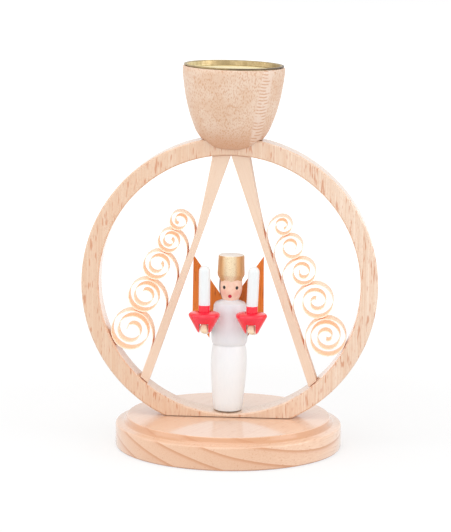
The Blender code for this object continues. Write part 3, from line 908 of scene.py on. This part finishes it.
        # painted shade: a grey line in the groove at the waist
        from_waist = graph.math("ABSOLUTE", graph.minus(z, self.waist))
        colour = graph.lay(colour, self.groove_painted_shade, graph.step(from_waist, *self.groove),
                           self.groove_strength)
        metal = graph.times(graph.minus(is_gilt, is_bare), self.metal)
        return surface.shade(colour, robe["Roughness"], robe["Height"], bump=0.2, depth=0.03,
                             Metallic=metal, Coat_Weight=0.1, Coat_Roughness=0.25)


@dataclass(frozen=True)
class StainedVeneer:
    """Thin wood stained orange, with painted shade on one side where the head shades it."""

    name: str = "wing stain"
    stain: tuple[Colour, Colour] = (srgb(255, 154, 56), srgb(240, 130, 42))
    fleck: Colour = srgb(168, 74, 24)
    fleck_strength: float = 0.45
    shaded: Colour = srgb(176, 82, 30)
    shaded_from: Pair = (2.0, 4.5)
    shaded_to: Pair = (9.5, 6.5)
    shaded_strength: float = 0.5

    def build(self, effects: Effects) -> Material:
        """Builds the material.

        Args:
            effects: the shared groups.

        Returns:
            The wing material.
        """
        surface = Surface(self.name, effects)
        graph = surface.graph
        grain = surface.group(effects.grain, Length=5.0, Width=0.6, Density=0.6)
        # painted shade: a darker band where the head shades the wing
        side = graph.band(surface.x, self.shaded_from, self.shaded_to)
        colour = graph.mix(graph.step(grain["Fibres"], 0.3, 0.7), *self.stain)
        colour = graph.lay(colour, self.fleck, grain["Flecks"], self.fleck_strength)
        colour = graph.lay(colour, self.shaded, side, self.shaded_strength)
        return surface.shade(colour, 0.5, grain["Fibres"], bump=0.25, depth=0.03)


def smooth_by_angle() -> Tree:
    """A geometry group that smooths a mesh but keeps its sharp edges.

    Returns:
        The geometry node tree.
    """
    sharpest = math.radians(35)
    tree = bpy.data.node_groups.new("Smooth Round Faces", "GeometryNodeTree")
    for direction in ("INPUT", "OUTPUT"):
        tree.interface.new_socket("Geometry", in_out=direction, socket_type="NodeSocketGeometry")
    graph = Graph(tree)
    entry = graph.node("NodeGroupInput").outputs[0]
    faces = graph.node("GeometryNodeSetShadeSmooth", {"Geometry": entry, "Shade Smooth": True},
                       domain="FACE")
    angle = graph.node("GeometryNodeInputMeshEdgeAngle").outputs["Unsigned Angle"]
    sharp = graph.node("FunctionNodeCompare", {"A": angle, "B": sharpest}, operation="GREATER_THAN")
    edges = graph.node("GeometryNodeSetShadeSmooth",
                       {"Geometry": faces.outputs[0], "Selection": sharp.outputs[0],
                        "Shade Smooth": False}, domain="EDGE")
    graph.node("NodeGroupOutput", {"Geometry": edges.outputs[0]})
    return tree


@dataclass
class Dressing:
    """Puts finishes on the solids and smooths their round faces."""

    nodes: dict[str, bpy.types.Object]
    effects: Effects
    smoothing: Tree = field(default_factory=smooth_by_angle)
    weld_distance: float = 1e-6
    dressed: list[str] = field(default_factory=list)

    def dress(self, finish: Finish, *names: str) -> None:
        """Gives solids a finish.

        Args:
            finish: the finish, which builds one material for all of them.
            names: the solids' names.
        """
        material = finish.build(self.effects)
        for name in names:
            solid = self.nodes[name]
            solid.data.materials.clear()
            solid.data.materials.append(material)
            weld = solid.modifiers.new("weld", "WELD")
            weld.merge_threshold = self.weld_distance
            smooth = solid.modifiers.new("smooth", "NODES")
            smooth.node_group = self.smoothing
            self.dressed.append(name)
        LOG.info("%s on %s", material.name, ", ".join(names))


@dataclass(frozen=True)
class SoftBox:
    """A square soft light that faces the object."""

    name: str
    place: Triple
    size: float
    power: float
    target: Triple = (0.0, 0.0, 0.08)

    def build(self) -> None:
        """Hangs the light at its place and turns it to its target."""
        data = bpy.data.lights.new(self.name, "AREA")
        data.size = self.size
        data.energy = self.power
        light = bpy.data.objects.new(self.name, data)
        aim = Vector(self.target) - Vector(self.place)
        turn = aim.to_track_quat("-Z", "Y").to_matrix().to_4x4()
        light.matrix_world = Matrix.Translation(self.place) @ turn
        bpy.context.scene.collection.objects.link(light)


@dataclass
class Studio:
    """Plain floor, soft light and the camera.

    The floor is lifted to white for the camera from near the object outwards, in metres.
    """

    camera_place: Triple = (0.06425, -1.04407, 0.25298)
    pan: float = math.radians(3.63)
    tilt: float = math.radians(9.55)
    roll: float = math.radians(0.66)
    lens: float = 170.2
    clip_end: float = 20.0
    sky: float = 0.66
    floor_half: float = 3.0
    floor_height: float = -0.0001
    floor_tone: float = 0.8
    floor_shown: float = 0.3
    floor_lift: float = 0.685
    floor_reach: Pair = (0.12, 0.5)
    softboxes: tuple[SoftBox, ...] = (
        SoftBox("top softbox", (-0.12, -0.18, 0.95), 0.8, 3.0),
        SoftBox("front softbox", (-0.25, -1.2, 0.5), 0.8, 2.4),
        SoftBox("left softbox", (-1.0, -0.35, 0.4), 0.7, 1.9),
        SoftBox("right softbox", (1.0, -0.35, 0.4), 0.7, 3.0))

    @staticmethod
    def shown_rays(graph: Graph) -> Socket:
        """Finds the rays that show the surroundings: seen by the camera, mirrored or passed on.

        Args:
            graph: the graph that needs the mask.

        Returns:
            1 for such rays, else 0.
        """
        path = graph.node("ShaderNodeLightPath").outputs
        mirrored = graph.math("MAXIMUM", path["Is Glossy Ray"], path["Is Transmission Ray"])
        return graph.math("MAXIMUM", path["Is Camera Ray"], mirrored)

    def build_camera(self) -> None:
        """Sets the camera at the photograph's angle."""
        forward = Vector((-math.sin(self.pan) * math.cos(self.tilt),
                          math.cos(self.pan) * math.cos(self.tilt), -math.sin(self.tilt)))
        level = Vector((math.cos(self.pan), math.sin(self.pan), 0.0))
        upright = level.cross(forward)
        right = level * math.cos(self.roll) + upright * math.sin(self.roll)
        up = upright * math.cos(self.roll) - level * math.sin(self.roll)
        data = bpy.data.cameras.new("camera")
        data.lens = self.lens
        data.clip_end = self.clip_end
        camera = bpy.data.objects.new("camera", data)
        turn = Matrix((right, up, -forward)).transposed()
        camera.matrix_world = Matrix.Translation(self.camera_place) @ turn.to_4x4()
        bpy.context.scene.collection.objects.link(camera)
        bpy.context.scene.camera = camera

    def floor_material(self) -> Material:
        """Makes the floor's white, which keeps the soft shadow and is lifted for the camera.

        Returns:
            The floor's material.
        """
        material = bpy.data.materials.new("floor")
        graph = emptied(material)
        shown = self.shown_rays(graph)
        spot = graph.node("ShaderNodeTexCoord").outputs["Object"]
        far = graph.step(graph.vector("LENGTH", spot), *self.floor_reach)
        lift = graph.times(shown, graph.span(far, (0.0, 1.0), (self.floor_lift, 1.0)))
        tone = graph.mix(shown, (self.floor_tone,) * 3 + (1.0,), (self.floor_shown,) * 3 + (1.0,))
        shader = graph.node("ShaderNodeBsdfPrincipled",
                            {"Base Color": tone, "Roughness": 0.9, "Specular IOR Level": 0.0,
                             "Emission Color": graph.mix(lift, BLACK, WHITE),
                             "Emission Strength": 1.0})
        graph.node("ShaderNodeOutputMaterial", {"Surface": shader.outputs[0]})
        return material

    def build_floor(self) -> None:
        """Lays the floor just under the base plate."""
        mesh = bpy.data.meshes.new("floor")
        half, height = self.floor_half, self.floor_height
        corners = [(x * half, y * half, height) for x, y in ((-1, -1), (1, -1), (1, 1), (-1, 1))]
        mesh.from_pydata(corners, [], [(0, 1, 2, 3)])
        floor = bpy.data.objects.new("floor", mesh)
        bpy.context.scene.collection.objects.link(floor)
        mesh.materials.append(self.floor_material())

    def build_world(self) -> None:
        """Fills the surroundings with soft white light, and with pure white where they show."""
        world = bpy.data.worlds.new("studio")
        graph = emptied(world)
        strength = graph.span(self.shown_rays(graph), (0.0, 1.0), (self.sky, 1.0))
        back = graph.node("ShaderNodeBackground", {"Color": WHITE, "Strength": strength})
        graph.node("ShaderNodeOutputWorld", {"Surface": back.outputs[0]})
        bpy.context.scene.world = world

    def build(self) -> None:
        """Builds the whole studio."""
        self.build_floor()
        self.build_world()
        self.build_camera()
        for softbox in self.softboxes:
            softbox.build()
        bpy.context.scene.view_settings.view_transform = "Standard"
        LOG.info("studio with %d softboxes", len(self.softboxes))


@dataclass
class Stand:
    """The base plate and the ring on it.

    The base plate's growth layers slope, and show as lines on its rim more than on its top, partly
    as the grain's look and partly as painted sheen of the lacquer.
    """

    ring_pale: Colour = srgb(235, 205, 178)
    ring_warm: Colour = srgb(222, 175, 138)
    ring_fleck: Colour = srgb(204, 130, 86)
    # painted light: the ring gets paler towards its right side, where more light falls
    ring_painted_lit_side: Colour = srgb(244, 222, 201)
    ring_lit_side_span: Pair = (-5.0, 42.0)
    base_pale: Colour = srgb(238, 199, 168)
    base_warm: Colour = srgb(222, 166, 128)
    base_line: Colour = srgb(208, 142, 96)
    base_paler_side: Colour = srgb(251, 216, 188)
    base_paler_side_span: Pair = (10.0, 46.0)
    base_grain: Triple = (math.radians(90), math.radians(-26.3), 0.0)
    layer_slope: Triple = (0.28, -0.16, 1.0)
    layer_spacing: float = 6.5
    layer_shift: float = -2.2

    def dress(self, dressing: Dressing) -> None:
        """Dresses both turned pieces.

        Args:
            dressing: puts finishes on solids.
        """
        base = CovedWood("base wood", self.base_pale, self.base_warm, self.base_line,
                         paler_side=self.base_paler_side, paler_side_span=self.base_paler_side_span,
                         turn=self.base_grain, density=0.3, fleck_strength=0.45,
                         pore_strength=0.35, fibre_strength=0.4, across=self.layer_slope,
                         spacing=self.layer_spacing, shift=self.layer_shift, waviness=0.2,
                         ring_strength=0.55, line_strength=0.68, line_under_top_sheen=0.12,
                         roughness=0.3, sheen_coat=1.0)
        ring = BareWood("ring wood", self.ring_pale, self.ring_warm, self.ring_fleck,
                        paler_side=self.ring_painted_lit_side, paler_side_span=self.ring_lit_side_span, density=0.62,
                        fleck_strength=0.72, sheen_coat=0.8)
        dressing.dress(base, "base_plate")
        dressing.dress(ring, "ring")


@dataclass
class CurledStruts:
    """The two struts with their shavings."""

    pale: Colour = srgb(241, 214, 191)
    warm: Colour = srgb(233, 199, 171)
    pore: Colour = srgb(216, 158, 118)
    slope: float = math.radians(19.15)

    def dress(self, dressing: Dressing) -> None:
        """Dresses each strut with its grain along its own slope.

        Args:
            dressing: puts finishes on solids.
        """
        for side, sign in (("left", -1), ("right", 1)):
            wood = CurlWood(f"{side} strut wood", self.pale, self.warm, self.pore,
                            turn=(0.0, sign * self.slope, 0.0), density=0.2, fleck_strength=0.3,
                            pore_strength=0.2, fibre_strength=0.35, ring_strength=0.1,
                            roughness=0.42)
            dressing.dress(wood, f"curl_strut_{side}")


@dataclass
class TeaLightCup:
    """The bowl and the brass pan in it."""

    wood: CupWood = field(default_factory=CupWood)
    brass: Brass = field(default_factory=Brass)

    def dress(self, dressing: Dressing) -> None:
        """Dresses the bowl and the pan."""
        dressing.dress(self.wood, "candle_cup")
        dressing.dress(self.brass, "cup_insert")


@dataclass
class Angel:
    """The figure with its wings and arms."""

    white: Colour = srgb(247, 247, 248)
    hand: Colour = srgb(252, 230, 196)
    cuff: float = -7.45

    def dress(self, dressing: Dressing) -> None:
        """Dresses the figure, the wings and both arms.

        Args:
            dressing: puts finishes on solids.
        """
        sleeve = Paint("sleeve paint", self.white, other=self.hand, axis=(0.0, 1.0, 0.0),
                       limit=self.cuff)
        dressing.dress(AngelPaint(), "angel_figure")
        dressing.dress(StainedVeneer(), "angel_wings")
        dressing.dress(sleeve, "arm_left", "arm_right")


@dataclass
class HeldCandles:
    """The two candles in their sockets, each with a red collar at its foot."""

    white: Colour = srgb(238, 242, 243)
    red: Colour = srgb(252, 34, 62)
    thin_red: Colour = srgb(232, 26, 52)
    collar: float = 62.3

    def dress(self, dressing: Dressing) -> None:
        """Dresses the sockets and the candles.

        Args:
            dressing: puts finishes on solids.
        """
        socket = Paint("socket paint", self.red, self.thin_red, gloss=0.22, coat=0.4)
        candle = Paint("candle paint", self.white, unevenness=0.3, gloss=0.25, other=self.red,
                       limit=self.collar)
        dressing.dress(socket, "candle_socket_left", "candle_socket_right")
        dressing.dress(candle, "candle_left", "candle_right")


def main() -> None:
    logging.basicConfig(level=logging.INFO, format="%(name)s: %(message)s")
    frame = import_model()
    dressing = Dressing(frame["nodes"], Effects())
    for group in (Stand(), CurledStruts(), TeaLightCup(), Angel(), HeldCandles()):
        group.dress(dressing)
    Studio().build()
    LOG.info("dressed %d solids", len(dressing.dressed))


if __name__ == "__main__":
    main()
